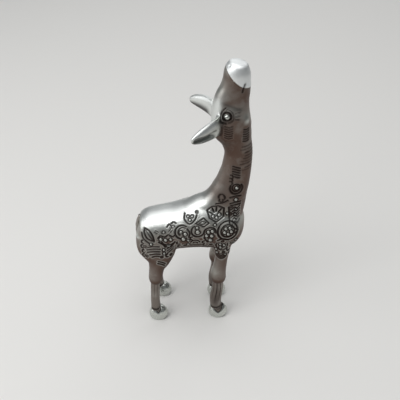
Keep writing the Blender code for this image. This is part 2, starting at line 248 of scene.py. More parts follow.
def close_rings(shape, rings):
    """Adds the faces between neighbouring rings of points, and a face at both ends."""
    for lower, upper in zip(rings, rings[1:]):
        for i in range(len(lower)):
            after = (i + 1) % len(lower)
            shape.faces.new((lower[i], lower[after], upper[after], upper[i]))
    shape.faces.new(reversed(rings[0]))
    shape.faces.new(rings[-1])


def add_tube(shape, stations, across=(0, 1, 0), sides=48, steps=6, radius_at=None):
    """Adds a closed tube of elliptical rings to a bmesh, in millimetres."""
    rows = curve_through(stations, steps)
    centres = [Vector(row[:3]) for row in rows]
    across = Vector(across).normalized()
    rings = []
    for i, row in enumerate(rows):
        along = centres[min(i + 1, len(rows) - 1)] - centres[max(i - 1, 0)]
        depth_way = across.cross(along).normalized()
        width_way = along.cross(depth_way).normalized()
        ring = []
        for side in range(sides):
            angle = 2 * math.pi * side / sides
            swell = radius_at(i / (len(rows) - 1), angle) if radius_at else 1.0
            deep = depth_way * row[3] * swell * math.cos(angle)
            wide = width_way * row[4] * swell * math.sin(angle)
            ring.append(shape.verts.new(centres[i] + deep + wide))
        rings.append(ring)
    close_rings(shape, rings)


def on_side(stations, side):
    """Stations of a paired piece: side is 1 for the left and -1 for the right."""
    return [(row[0], row[1] * side, *row[2:]) for row in stations]


def mirrored(point, side):
    """A point or direction of a paired piece."""
    return np.array((point[0], point[1] * side, point[2]), float)


def stepped(stations, step):
    """A leg whose foot is moved forward by the step, and whose hip stays."""
    return [(row[0] + step * max(0.0, 1 - row[2] / HIP_Z), *row[1:]) for row in stations]


def hind_step(side):
    """How far a hind foot stands ahead."""
    return LEFT_HIND_STEP if side == 1 else 0.0


def ear_point(share, side):
    """A point on the curve from an ear's root, round its bend, to its tip."""
    root, bend, tip = (mirrored(point, side) for point in (EAR_ROOT, EAR_BEND, EAR_TIP))
    first = root + (bend - root) * share
    second = bend + (tip - bend) * share
    return first + (second - first) * share


# ---- the skin and its chasing ----


def one_skin():
    """Torso, neck, head, ears and upper legs as one fine smooth mesh, in millimetres."""
    joined = bmesh.new()
    for stations in (TORSO, WITHERS, NECK, HEAD):
        add_tube(joined, stations)
    for side in (1, -1):
        add_tube(joined, on_side(FRONT_LEG, side))
        add_tube(joined, on_side(stepped(HIND_LEG, hind_step(side)), side))
        leaf = [(*ear_point(share, side), deep, wide) for share, deep, wide in EAR_LEAF]
        add_tube(joined, leaf, across=(0, 0, 1))
    bmesh.ops.recalc_face_normals(joined, faces=joined.faces)
    mesh = bpy.data.meshes.new("skin_tubes")
    joined.to_mesh(mesh)
    joined.free()
    shape = bpy.data.objects.new("skin_tubes", mesh)
    bpy.context.scene.collection.objects.link(shape)
    remesh = shape.modifiers.new("one_skin", "REMESH")
    remesh.mode = "VOXEL"
    remesh.voxel_size = SKIN_VOXEL
    smooth = shape.modifiers.new("soften", "SMOOTH")
    smooth.factor = 0.5
    smooth.iterations = round(CAD_SMOOTHING * (CAD_VOXEL / SKIN_VOXEL) ** 2)
    depsgraph = bpy.context.evaluated_depsgraph_get()
    skin = bpy.data.meshes.new_from_object(shape.evaluated_get(depsgraph), depsgraph=depsgraph)
    bpy.data.objects.remove(shape)
    return skin


def smoothstep(low, high, value):
    """0 below low, 1 above high, and a smooth rise between them."""
    t = np.clip((value - low) / (high - low), 0.0, 1.0)
    return t * t * (3 - 2 * t)


class Patch:
    """A part of the skin near one point, with flat coordinates u forward and v up on it."""

    def __init__(self, skin, centre, reach, turn=0.0):
        offset = skin.places - centre
        near = np.argmin((offset**2).sum(1))
        centre = skin.places[near]
        offset = skin.places - centre
        distance = np.sqrt((offset**2).sum(1))
        around = distance < NORMAL_REACH
        out = skin.normals[around].mean(0)
        out /= np.linalg.norm(out)
        chosen = (distance < reach * PATCH_MARGIN) & (skin.normals @ out > 0.1)
        self.index = np.nonzero(chosen)[0]
        side = 1.0 if centre[1] > 0 else -1.0
        forward = np.cross(out, (0, 0, 1)) * side
        forward /= np.linalg.norm(forward)
        upward = np.cross(forward, out) * side
        angle = math.radians(turn)
        offset = offset[self.index]
        u = offset @ forward
        v = offset @ upward
        self.u = u * math.cos(angle) + v * math.sin(angle)
        self.v = v * math.cos(angle) - u * math.sin(angle)


class Skin:
    """The skin's points while it is worked.

    Each point has a place and a normal, how deep it is cut and how high it is raised, and how much it has
    of blacking round a cut and painted shade in the ears, of ridge beside a cut, of painted shade on the
    ears' backs and of painted highlight.
    """

    def __init__(self, mesh):
        count = len(mesh.vertices)
        self.mesh = mesh
        flat = np.empty(count * 3, np.float32)
        mesh.vertices.foreach_get("co", flat)
        self.places = flat.reshape(-1, 3).astype(float)
        self.read_normals()
        self.cut = np.zeros(count)
        self.rise = np.zeros(count)
        self.cut_blacking_and_ear_shade = np.zeros(count)
        self.ridge = np.zeros(count)
        self.turned_away_shade = np.zeros(count)
        self.painted_highlight = np.zeros(count)

    def read_normals(self):
        """Takes the normals of the mesh as it is now."""
        flat = np.empty(len(self.mesh.vertices) * 3, np.float32)
        self.mesh.vertex_normals.foreach_get("vector", flat)
        self.normals = flat.reshape(-1, 3).astype(float)

    def write_places(self):
        """Puts the points back in the mesh."""
        self.mesh.vertices.foreach_set("co", self.places.astype(np.float32).ravel())
        self.mesh.update()
        self.read_normals()

    def swell(self, centre, radius, height):
        """Raises a soft bump, or with a negative height a soft hollow."""
        distance = ((self.places - centre) ** 2).sum(1) / radius**2
        self.places += self.normals * (height * np.exp(-distance))[:, None]

    def groove(self, index, distance, width, depth):
        """Cuts a round-bottomed line where distance is 0."""
        profile = depth * np.exp(-((distance / width) ** 2))
        self.cut[index] = np.maximum(self.cut[index], profile)
        strength = min(1.0, DIRT_PER_DEPTH * depth)
        dirt_and_shade = strength * np.exp(-((distance / (width + DIRT_REACH)) ** 2))
        self.cut_blacking_and_ear_shade[index] = np.maximum(self.cut_blacking_and_ear_shade[index], dirt_and_shade)
        beside = strength * np.exp(-(((distance - width - RIDGE_GAP) / RIDGE_WIDTH) ** 2))
        self.ridge[index] = np.maximum(self.ridge[index], beside)

    def soften(self, chosen, rounds):
        """Smooths a region, each point towards the mean of its neighbours."""
        ends = np.empty(len(self.mesh.edges) * 2, np.int32)
        self.mesh.edges.foreach_get("vertices", ends)
        first, second = ends.reshape(-1, 2).T
        inside = chosen[first] & chosen[second]
        first = first[inside]
        second = second[inside]
        count = len(self.places)
        share = np.bincount(first, minlength=count) + np.bincount(second, minlength=count)
        moved = share > 0
        for _ in range(rounds):
            for axis in range(3):
                old = self.places[:, axis]
                total = np.bincount(first, old[second], count) + np.bincount(second, old[first], count)
                self.places[moved, axis] = (old[moved] + total[moved] / share[moved]) / 2
        self.write_places()

    def groove_line(self, points, width=0.32, depth=0.35):
        """Cuts a line along points in space."""
        points = np.array(points, float)
        low = points.min(0) - 2
        high = points.max(0) + 2
        index = np.nonzero(((self.places > low) & (self.places < high)).all(1))[0]
        self.groove(index, distance_to_line(self.places[index], points), width, depth)

    def bright_ridge(self):
        """The metal pushed up and rubbed bright beside the cuts: less on the neck, none in a cut."""
        on_body = 0.2 + 0.55 * (1 - smoothstep(68.0, 76.0, self.places[:, 2]))
        return on_body * self.ridge * (1 - smoothstep(0.03, 0.15, self.cut))

    def chase(self):
        """Moves the points by all that was cut and raised."""
        height = self.rise - self.cut + RIDGE_HEIGHT * self.bright_ridge()
        self.places += self.normals * height[:, None]
        self.write_places()


def distance_to_line(points, line):
    """The distance of each point from a line of straight runs, in two or three dimensions."""
    best = np.full(len(points), 1e9)
    for start, end in zip(line, line[1:]):
        run = end - start
        share = np.clip(((points - start) @ run) / max(run @ run, 1e-9), 0, 1)
        gap = points - start - share[:, None] * run
        best = np.minimum(best, np.sqrt((gap**2).sum(1)))
    return best


class Motif:
    """Marks of the chasing tools on one patch."""

    def __init__(self, skin, centre, side, reach=6.0, turn=0.0):
        x, y, z = centre
        self.skin = skin
        self.patch = Patch(skin, np.array((x, y * side, z)), reach, turn)

    def groove(self, distance, width, depth):
        """Cuts the patch where distance is 0."""
        self.skin.groove(self.patch.index, distance, width, depth)

    def line(self, points, width=0.3, depth=0.4):
        """A chased line through points (u, v)."""
        here = np.stack((self.patch.u, self.patch.v), 1)
        self.groove(distance_to_line(here, np.array(points, float)), width, depth)

    def curve(self, points, width=0.3, depth=0.4):
        """A chased line on a smooth curve through points (u, v)."""
        self.line(curve_through(points, 6), width, depth)

    def ring(self, u, v, radius, start=0, end=360, width=0.3, depth=0.4, squash=1.0):
        """A chased arc; angles are in degrees from forward, towards up."""
        count = max(6, int(abs(end - start) / 12))
        angles = [math.radians(start + (end - start) * i / count) for i in range(count + 1)]
        points = [(u + radius * math.cos(a), v + radius * squash * math.sin(a)) for a in angles]
        self.line(points, width, depth)

    def bead(self, u, v, radius=0.75, height=0.28, moat=0.42):
        """A raised bead in a cut moat."""
        distance = np.hypot(self.patch.u - u, self.patch.v - v)
        index = self.patch.index
        outside = np.maximum(distance - radius - MOAT_GAP, 0)
        inside = distance < radius
        dome = height * np.sqrt(np.clip(1 - (distance / radius) ** 2, 0, 1))
        self.skin.rise[index] = np.maximum(self.skin.rise[index], dome)
        moat_cut = moat * np.exp(-((outside / MOAT_WIDTH) ** 2))
        self.skin.cut[index] = np.where(inside, 0.0, np.maximum(self.skin.cut[index], moat_cut))
        edge = moat * smoothstep(radius * 0.72, radius, distance)
        self.skin.cut[index] = np.where(inside, edge, self.skin.cut[index])
        dirt_and_shade = np.where(inside, 0.0, np.exp(-((outside / (MOAT_WIDTH + DIRT_REACH)) ** 2)))
        self.skin.cut_blacking_and_ear_shade[index] = np.where(inside, 0.0, np.maximum(self.skin.cut_blacking_and_ear_shade[index], dirt_and_shade))

    def beads(self, spots):
        """Raised beads, each given as (u, v, radius)."""
        for u, v, radius in spots:
            self.bead(u, v, radius)


def chase_shoulder(skin, side):
    """The rosette, the many-sided star, the diamond and the bead cluster over the front leg."""
    rosette = Motif(skin, (19.0, 9.9, 59.6), side, 7)
    rosette.ring(0, 0, 4.9, width=0.42, depth=0.55, squash=1.04)
    rosette.ring(0, 0, 3.3, width=0.36, depth=0.5)
    for angle in (55, 125, 200, 275, 340):
        a = math.radians(angle)
        rosette.bead(1.75 * math.cos(a), 1.75 * math.sin(a), 0.8)
    for v in (0.8, -1.8):
        rosette.line(((3.4, v), (5.2, -0.6)), 0.3, 0.5)

    star = Motif(skin, (13.2, 7.9, 68.2), side, 6)
    outline = (
        (-3.6, 2.2), (-1.6, 3.6), (1.6, 3.7), (3.9, 2.6),
        (3.7, -1.4), (0.2, -3.8), (-2.8, -1.6), (-3.6, 2.2),
    )
    star.line(outline, 0.36, 0.5)
    outer_ends = ((-1.4, 3.0), (0.6, 3.1), (2.6, 2.3), (-2.8, 1.2))
    inner_ends = ((-0.5, 1.0), (0.4, 1.2), (1.4, 0.9), (-1.2, 0.4))
    for spoke in zip(outer_ends, inner_ends):
        star.line(spoke, 0.3, 0.5)
    star.beads(((-1.1, -0.9, 0.7), (0.5, -1.6, 0.7), (1.8, -0.4, 0.75)))

    diamond = Motif(skin, (7.2, 9.6, 64.6), side, 5)
    diamond.line(((0.3, 2.3), (2.9, -0.1), (0.5, -2.0), (-3.4, -0.4), (0.3, 2.3)), 0.34, 0.5)
    for bend in (0.8, -0.8):
        diamond.curve(((-1.8, -0.2), (-0.1, bend), (1.5, 0.1)), 0.28, 0.42)
    pair = Motif(skin, (4.8, 10.9, 60.6), side, 5)
    pair.beads(((0.1, -0.6, 1.0), (-0.2, 1.7, 0.7)))
    pair.ring(0, -0.2, 2.9, 120, 330, 0.36, 0.5)

    cluster = Motif(skin, (10.4, 11.0, 58.4), side, 6)
    cluster.beads(((-0.6, 1.7, 0.85), (1.2, 2.0, 0.8), (-1.5, -0.5, 0.85)))
    cluster.beads(((0.9, -0.7, 0.9), (0.3, -3.4, 0.95)))
    cluster.curve(((-2.9, 0.6), (-2.2, 2.8), (0.0, 3.9), (2.2, 3.3), (3.0, 1.2)), 0.4, 0.55)
    cluster.curve(((-2.6, -1.6), (-1.6, -3.6), (-0.9, -4.8)), 0.34, 0.5)

    shoulder = Motif(skin, (16.8, 10.0, 52.0), side, 5)
    shoulder.curve(((-2.6, 2.6), (0.0, 3.4), (2.6, 2.3)), 0.4, 0.55)
    shoulder.beads(((-1.3, -0.6, 0.6), (0.5, -1.2, 0.6), (-1.2, -2.5, 0.6)))
    shoulder.ring(-0.5, -1.2, 2.8, 150, 380, 0.3, 0.4)


def chase_barrel(skin, side):
    """The fan and the crescent behind the shoulder, and the beads and marks before the rump."""
    fan = Motif(skin, (1.3, 8.0, 66.4), side, 5)
    fan.curve(((-2.9, 1.9), (-2.3, -1.2), (0.2, -2.9), (2.4, -0.6), (3.0, 1.9)), 0.34, 0.5)
    fan.beads(((-1.0, 0.6, 0.55), (0.9, 0.9, 0.55), (0.1, -0.9, 0.6)))
    Motif(skin, (4.5, 6.8, 68.9), side, 3).ring(0, 0, 0.5, width=0.34, depth=0.42)

    crescent = Motif(skin, (-2.3, 10.8, 59.2), side, 6)
    crescent.ring(0, 0.5, 3.5, 60, 300, 0.4, 0.55)
    crescent.ring(0.2, 0.8, 2.2, 60, 230, 0.3, 0.45)
    crescent.beads(((-0.7, 0.7, 0.7), (1.3, -0.3, 0.85), (0.4, -3.2, 0.95)))
    crescent.curve(((2.2, 2.6), (3.4, 0.6), (3.0, -2.0)), 0.34, 0.45)

    haunch = Motif(skin, (-9.8, 10.8, 54.6), side, 6.5)
    haunch.beads(((-2.8, 0.9, 0.8), (-0.6, 0.5, 0.85), (0.7, -3.2, 1.0), (1.9, 0.9, 0.7)))
    haunch.curve(((-4.0, 1.6), (-2.8, 2.7), (-0.8, 2.2), (0.8, 3.4), (2.8, 2.6), (4.0, 3.6)), 0.4, 0.55)
    haunch.curve(((-3.8, -0.8), (-1.8, -2.4), (-0.8, -4.2)), 0.34, 0.5)
    haunch.curve(((3.8, -0.4), (2.6, -2.6), (1.6, -4.6)), 0.34, 0.5)
    haunch.ring(0.4, 0.2, 2.9, 200, 330, 0.3, 0.45)

    marks = Motif(skin, (-7.6, 8.9, 62.6), side, 4)
    marks.curve(((-1.8, -1.0), (-0.9, 0.4), (0.2, -0.4)), 0.32, 0.45)
    marks.curve(((0.0, 0.8), (1.0, 1.7), (2.2, 1.2)), 0.32, 0.45)
    marks.ring(1.0, -0.6, 0.8, 0, 260, 0.28, 0.4)


def chase_rump(skin, side):
    """The leaf on the rump and the rows of strokes on the thigh and stifle."""
    leaf = Motif(skin, (-18.2, 9.6, 56.8), side, 6, turn=-50)
    leaf.curve(((-4.2, 0.4), (-2.2, 1.7), (0.8, 1.6), (3.6, 0.2)), 0.42, 0.55)
    leaf.curve(((-4.2, 0.4), (-2.4, -0.9), (0.6, -1.4), (3.6, 0.2)), 0.36, 0.5)
    leaf.curve(((-3.2, 0.4), (-0.4, 0.5), (2.6, 0.2)), 0.28, 0.4)
    leaf.curve(((-3.2, -2.2), (-0.4, -3.2), (2.8, -2.4)), 0.34, 0.45)

    strokes = Motif(skin, (-16.3, 10.6, 47.6), side, 7)
    starts = (-2.6, -3.0, -2.8, -1.8, -0.8)
    ends = (2.8, 3.2, 3.0, 3.0, 2.6)
    heights = (3.4, 2.0, 0.5, -1.0, -2.4)
    for start, end, v in zip(starts, ends, heights):
        strokes.curve(((start, v - 0.5), ((start + end) / 2, v + 0.2), (end, v + 0.1)), 0.3, 0.42)
    stifle = Motif(skin, (-8.6, 9.0, 48.4), side, 4)
    for v in (1.6, 0.3, -1.0):
        stifle.line(((-1.6, v - 0.8), (1.2, v + 0.8)), 0.28, 0.4)


def chase_belly(skin, side):
    """Two arcs over a long stroke on the side of the belly."""
    belly = Motif(skin, (4.0, 10.4, 53.8), side, 5)
    belly.ring(-0.4, -0.6, 2.2, 20, 160, 0.32, 0.42)
    belly.ring(-0.4, -0.9, 1.1, 20, 160, 0.3, 0.4)
    belly.curve(((-2.6, -2.6), (0.0, -1.9), (2.6, -2.6)), 0.3, 0.4)


FILL_ROWS = 19
FILL_COLUMNS = 32
FILL_START = (-22.5, 44.5)  # x and z of the first small mark
FILL_STEP = (1.5, 1.45)
FILL_SHIFT = (1.0, 0.8)  # the most that a mark is moved off the even grid
FLANK_Y = 11.0
UNDER_BARREL_Z = 50.0  # the marks reach less far down between the legs
ALREADY_CUT = 0.12  # no small mark goes where the skin is cut deeper than this


def top_of_fill(x):
    """The height up to which the flank is filled; it rises from rump to withers."""
    return 62.0 + 0.28 * (x + 12)


def share_of(number):
    """A fixed but irregular share, from 0 to 1, for each whole number."""
    return math.sin(number * 12.9898 + 4.1) * 43758.5453 % 1.0


def fill_flank(skin, side):
    """Small beads, arcs and strokes wherever the larger patches left the flank bare."""
    x, y, z = skin.places.T
    flank = np.nonzero((y * side > 5) & (z > 43) & (z < 73) & (x > -24) & (x < 26))[0]
    places = skin.places[flank]
    number = 0
    for row in range(FILL_ROWS):
        for column in range(FILL_COLUMNS):
            number += 1
            spot_x = FILL_START[0] + FILL_STEP[0] * column + FILL_SHIFT[0] * share_of(number)
            spot_z = FILL_START[1] + FILL_STEP[1] * row + FILL_SHIFT[1] * share_of(number + 500)
            over_leg = spot_x < -7 or spot_x > 12
            lowest = FILL_START[1] if over_leg else UNDER_BARREL_Z
            if not lowest < spot_z < top_of_fill(spot_x):
                continue
            near = places[np.argmin(((places - (spot_x, FLANK_Y * side, spot_z)) ** 2).sum(1))]
            around = ((places - near) ** 2).sum(1) < 1.0
            if skin.cut[flank[around]].max() > ALREADY_CUT:
                continue
            mark = Motif(skin, mirrored(near, side), side, 2.2, turn=90 * share_of(number + 900) - 45)
            kind = number % 4
            if kind == 0:
                mark.bead(0, 0, 0.6)
            elif kind == 1:
                mark.ring(0.3, 0, 0.95, 95, 275, 0.3, 0.45)
            elif kind == 2:
                mark.line(((-0.8, 0.35), (0.7, 0.7)), 0.26, 0.4)
                mark.line(((-0.7, -0.55), (0.8, -0.3)), 0.26, 0.4)
            else:
                mark.ring(0, 0, 0.55, 0, 360, 0.28, 0.42)


def chase_chest_and_neck(skin, side):
    """The zigzags up the chest, the scales, beads and strokes up the neck, and arcs on the legs' tops."""
    chest = Motif(skin, (22.2, 7.0, 66.6), side, 8)
    chest.curve(((-2.9, 5.2), (-2.7, 0.5), (-3.0, -3.2)), 0.4, 0.5)
    for row in range(6):
        v = 4.4 - row * 1.55
        chest.line(((-1.9, v - 0.8), (-0.3, v + 0.5), (1.0, v - 0.7), (2.4, v + 0.6)), 0.28, 0.42)

    collar = Motif(skin, (16.0, 6.6, 76.2), side, 6)
    collar.curve(((-2.6, -3.2), (0.2, -2.4), (2.6, -0.6)), 0.36, 0.48)
    collar.ring(-0.2, 0.6, 1.5, -30, 200, 0.34, 0.45)
    collar.ring(-0.4, -1.0, 0.9, 150, 400, 0.3, 0.42)

    stud = Motif(skin, (22.4, 6.4, 75.6), side, 5)
    stud.bead(0, 0, 0.8)
    for back, middle, front in ((1.5, 2.0, 1.7), (-1.8, -1.4, -1.6), (-3.1, -2.8, -3.0)):
        stud.curve(((-2.6, back), (0.0, middle), (2.4, front)), 0.32, 0.42)

    shell = Motif(skin, (21.8, 6.2, 81.6), side, 6)
    shell.ring(0.6, 0, 2.9, 150, 400, 0.34, 0.48)
    shell.ring(0.6, 0.3, 1.9, 0, 360, 0.3, 0.45)
    shell.bead(0.8, 0.2, 0.8)
    scales = Motif(skin, (20.6, 5.9, 86.0), side, 5)
    for u, v in ((-0.9, -1.6), (-0.9, 0.0), (-0.7, 1.6)):
        scales.ring(u, v, 0.9, -50, 100, 0.28, 0.42)
    strokes = Motif(skin, (21.8, 5.6, 90.2), side, 5)
    for i in range(5):
        v = 2.4 - i * 1.25
        strokes.line(((-1.2, v + 0.3), (1.8, v - 0.4)), 0.28, 0.42)

    upper = Motif(skin, (16.4, 9.6, 43.4), side, 5)
    for radius in (1.1, 2.0, 2.9):
        upper.ring(-0.6, 1.6, radius, 200, 345, 0.32, 0.42)
    hock = Motif(skin, (-12.8, 10.0, 41.0), side, 4)
    hock.curve(((-1.6, 0.8), (0.2, 0.0), (1.6, -1.2)), 0.32, 0.42)
    hock.curve(((-1.8, -0.6), (-0.2, -1.2), (1.2, -2.4)), 0.32, 0.42)


WRINKLES = 9
WRINKLE_TOP = 103.8
WRINKLE_STEP = 1.5
THROAT_AXIS_X = 20.6
THROAT_HALF = (7.7, 7.0)  # a little outside the throat, forward and sideways


def chase_throat(skin):
    """Wrinkles round the throat, from the jaw to a third of the way down the neck."""
    for i in range(WRINKLES):
        z = WRINKLE_TOP - i * WRINKLE_STEP - 0.5 * share_of(i)
        around = []
        for step in range(-5, 6):
            angle = step / 5 * (0.75 + 0.4 * share_of(i + 40))
            forward = THROAT_AXIS_X + THROAT_HALF[0] * math.cos(angle)
            sideways = THROAT_HALF[1] * math.sin(angle)
            around.append((forward, sideways, z - 0.35 * abs(step) / 5))
        near = [snapped(skin, point) for point in around]
        skin.groove_line(near, 0.26, 0.1 + 0.1 * share_of(i + 80))


def snapped(skin, point):
    """The skin's point nearest to a point in space."""
    offset = skin.places - np.array(point, float)
    return skin.places[np.argmin((offset**2).sum(1))]


# ---- head ----

BROW = ((15.6, 4.2, 124.0), (17.6, 5.4, 123.4), (20.2, 5.6, 122.6), (22.4, 5.2, 121.8))
MOUTH = ((24.0, 4.6, 132.6), (23.6, 5.0, 131.0), (23.3, 5.2, 129.2))
LIP_EDGE = (  # x and z
    (15.0, 142.0), (15.7, 140.0), (16.9, 137.5), (18.6, 135.2),
    (20.0, 133.7), (21.3, 132.6), (23.3, 131.2), (28.0, 129.4),
)
CHEEK = (20.5, 6.6, 118.0)
FACE_HOLLOW = (18.0, 6.6, 123.0)
NOSE_TOP = (21.6, 0.0, 140.4)
NOSTRIL = (17.9, 2.4, 139.4)
LIP_STEP = 0.16


def lip_height(skin):
    """How far each point lies above the lip's edge, which runs down from bridge to chin."""
    edge_x, edge_z = zip(*curve_through(LIP_EDGE, 8))
    return skin.places[:, 2] - np.interp(skin.places[:, 0], edge_x, edge_z)


def shape_head(skin):
    """Jaw, cheeks, face, nose, lip and nostrils, as soft forms before the chasing."""
    for side in (1, -1):
        skin.swell(mirrored(JAW_CORNER, side), 2.2, 0.55)
        skin.swell(mirrored(CHEEK, side), 2.0, 0.25)
        skin.swell(mirrored(FACE_HOLLOW, side), 2.0, -0.35)
    skin.write_places()
    skin.swell(np.array(NOSE_TOP), 3.0, 0.7)
    skin.write_places()
    skin.soften(skin.places[:, 2] > 134, 30)
    on_muzzle = skin.places[:, 2] > MUZZLE_Z
    step = LIP_STEP * smoothstep(-0.5, 0.3, lip_height(skin))
    skin.places += skin.normals * np.where(on_muzzle, step, 0)[:, None]
    for side in (1, -1):
        skin.swell(mirrored(NOSTRIL, side), 0.7, -0.22)
    skin.write_places()


BOWL_DEPTH = 2.5
UNDER_RIM_SHADE = 1.25
BOWL_SHADE = 0.6
EAR_BACK_SHADE = 0.9
EAR_RIM_HIGHLIGHT = 0.6


def shape_ears(skin):
    """The bowl in the lower half of each ear, steep under the broad rolled rim above it, with painted
    shade under the rim, in the bowl and on the lower back, and a painted highlight on the upper rim.
    """
    shares = np.linspace(0.2, 1.0, 81)
    for side in (1, -1):
        opening = mirrored(EAR_OPENS_TO, side)
        opening /= np.linalg.norm(opening)
        spine = np.array([ear_point(share, side) for share in shares])
        low = spine.min(0) - 6
        high = spine.max(0) + 6
        index = np.nonzero(((skin.places > low) & (skin.places < high)).all(1))[0]
        offset = skin.places[index][:, None, :] - spine[None]
        flat = offset.copy()
        flat[..., 2] = 0
        nearest = np.argmin((flat**2).sum(2), axis=1)
        share = shares[nearest]
        up = offset[np.arange(len(index)), nearest, 2]
        half = np.interp(share, [row[0] for row in EAR_LEAF], [row[2] for row in EAR_LEAF])
        across = up / half
        along = smoothstep(0.26, 0.42, share) * (1 - smoothstep(0.82, 0.97, share))
        edge = 0.02 + 0.35 * smoothstep(0.6, 0.95, share)
        bowl = smoothstep(-0.88, -0.45, across) * (1 - smoothstep(edge - 0.22, edge + 0.08, across))
        facing = smoothstep(0.0, 0.6, skin.normals[index] @ opening)
        skin.places[index] -= opening * (BOWL_DEPTH * along * bowl * facing)[:, None]
        # painted shadow under the rim, and painted shade in the bowl
        under_rim = UNDER_RIM_SHADE * along * facing * np.exp(-(((across - edge + 0.08) / 0.2) ** 2))
        under_rim = np.maximum(under_rim, BOWL_SHADE * along * facing * bowl)
        skin.cut_blacking_and_ear_shade[index] = np.maximum(skin.cut_blacking_and_ear_shade[index], under_rim)
        leaf = smoothstep(0.2, 0.4, share)
        under_back = 1 - smoothstep(-0.5, 0.25, across)
        # painted shade on the lower half of the ear's back, which faces away from the light
        skin.turned_away_shade[index] = EAR_BACK_SHADE * leaf * under_back * (1 - facing)
        # painted highlight on the ear's upper rim
        skin.painted_highlight[index] = EAR_RIM_HIGHLIGHT * leaf * smoothstep(0.15, 0.6, across)
    skin.write_places()
    skin.soften((np.abs(skin.places[:, 1]) > 6.5) & (skin.places[:, 2] > 104), 16)
    for side in (1, -1):
        junction = ((skin.places - mirrored(EAR_JUNCTION, side)) ** 2).sum(1)
        skin.soften(junction < 3.4**2, 50)


def chase_head(skin, side):
    """Eye socket and lid, lashes, brow, mouth, and the strokes on the cheek and the jaw."""
    eye = Motif(skin, EYE_CENTRE, side, 6)
    eye.ring(0, 0, 1.75, 0, 360, 0.42, 0.6)
    eye.ring(0, 0, 2.9, -70, 95, 0.26, 0.34)
    eye.curve(((-0.6, 3.6), (-2.2, 1.9), (-2.5, 0.0), (-2.0, -1.9), (-0.4, -3.2)), 0.3, 0.42)
    for v in (1.5, 0.3, -0.9):
        eye.line(((3.5, v), (4.9, v * 1.3)), 0.24, 0.26)
    # a wide, shallow groove whose blacking paints the brow's shadow over the eye
    brow = [snapped(skin, mirrored(point, side)) for point in BROW]
    skin.groove_line(brow, 0.8, 0.16)
    mouth = [snapped(skin, mirrored(point, side)) for point in MOUTH]
    skin.groove_line(mouth, 0.28, 0.4)
    cheek = Motif(skin, (18.0, 6.4, 110.8), side, 6)
    for i in range(6):
        v = 3.0 - i * 1.15
        cheek.curve(((-1.6, v + 0.35), (0.0, v - 0.15), (1.6, v + 0.4)), 0.2, 0.26)
    jaw = Motif(skin, (25.2, 4.0, 108.6), side, 6)
    for i in range(6):
        v = 3.1 - i * 1.15
        jaw.curve(((-1.5, v + 0.3), (0.0, v - 0.1), (1.4, v + 0.25)), 0.22, 0.3)


# ---- finish of the skin, with its painted highlights and painted shade ----


def brow_highlight(skin):
    """The painted highlight on the backward-facing plate between the ears: 1 on it and 0 away from it."""
    z = skin.places[:, 2]
    facing_back = smoothstep(0.2, 0.65, -skin.normals[:, 0])
    return facing_back * smoothstep(109, 113, z) * (1 - smoothstep(122, 129, z))


def polish_and_highlight_of(skin):
    """How bright each point is: a painted highlight where the skin faces up, on the back, brow, jaw and
    lip; rubbed on the ears, beads and ridges.
    """
    y, z = skin.places.T[1:]
    # painted highlight: brighter the more the skin faces up
    polish_and_highlight = smoothstep(-0.15, 0.75, skin.normals[:, 2])
    on_body = 1 - smoothstep(70.0, 78.0, z)
    polish_and_highlight *= 0.35 + 0.65 * np.maximum(on_body, smoothstep(100, 108, z))
    # painted highlight on the nose above the lip
    lip = smoothstep(-0.1, 0.5, lip_height(skin)) * (z > MUZZLE_Z)
    polish_and_highlight = np.maximum(polish_and_highlight, lip)
    polish_and_highlight = np.maximum(polish_and_highlight, brow_highlight(skin))
    # painted highlight on each jaw's corner
    for side in (1, -1):
        away = ((skin.places - mirrored(JAW_HIGHLIGHT, side)) ** 2).sum(1)
        polish_and_highlight = np.maximum(polish_and_highlight, 0.8 * np.exp(-away / 1.6**2))
    ear = smoothstep(7.6, 9.6, np.abs(y)) * (z > 100)
    polish_and_highlight = np.maximum(polish_and_highlight, 0.85 * ear)
    beads = smoothstep(0.02, 0.12, skin.rise)
    return np.maximum.reduce((polish_and_highlight, 0.7 * beads, 0.8 * skin.bright_ridge()))


def painted_highlight_of(skin):
    """How far each point is painted a pale highlight: the nose, the ears' rims, the brow and the back."""
    z = skin.places[:, 2]
    # painted highlights: the nose above the lip, and the back the more it faces up
    nose = smoothstep(-0.15, 0.5, lip_height(skin)) * (z > MUZZLE_Z)
    back = smoothstep(0.3, 0.85, skin.normals[:, 2]) * (1 - smoothstep(66, 84, z))
    return np.maximum.reduce((nose, skin.painted_highlight, 0.45 * brow_highlight(skin), 0.6 * back))


def blacking_and_shade_of(skin):
    """How dark each point is: blacked in and round the cuts, and painted shade in the ears and where the
    skin faces down.
    """
    # painted shade where the skin faces down and on the ears' turned-away lower backs
    turned_away_shade = np.maximum(skin.turned_away_shade, DOWN_FACING_SHADE * smoothstep(-0.15, 0.75, -skin.normals[:, 2]))
    dirt_and_shade = 0.9 * skin.cut_blacking_and_ear_shade * (1 - 0.8 * skin.bright_ridge())
    blacking_and_shade = np.maximum(skin.cut / BLACKED_AT, dirt_and_shade)
    return np.clip(np.maximum(blacking_and_shade, turned_away_shade), 0, 1)


def store(mesh, name, values):
    """Keeps a value at each point for the material."""
    layer = mesh.attributes.new(name, "FLOAT", "POINT")
    layer.data.foreach_set("value", values.astype(np.float32))


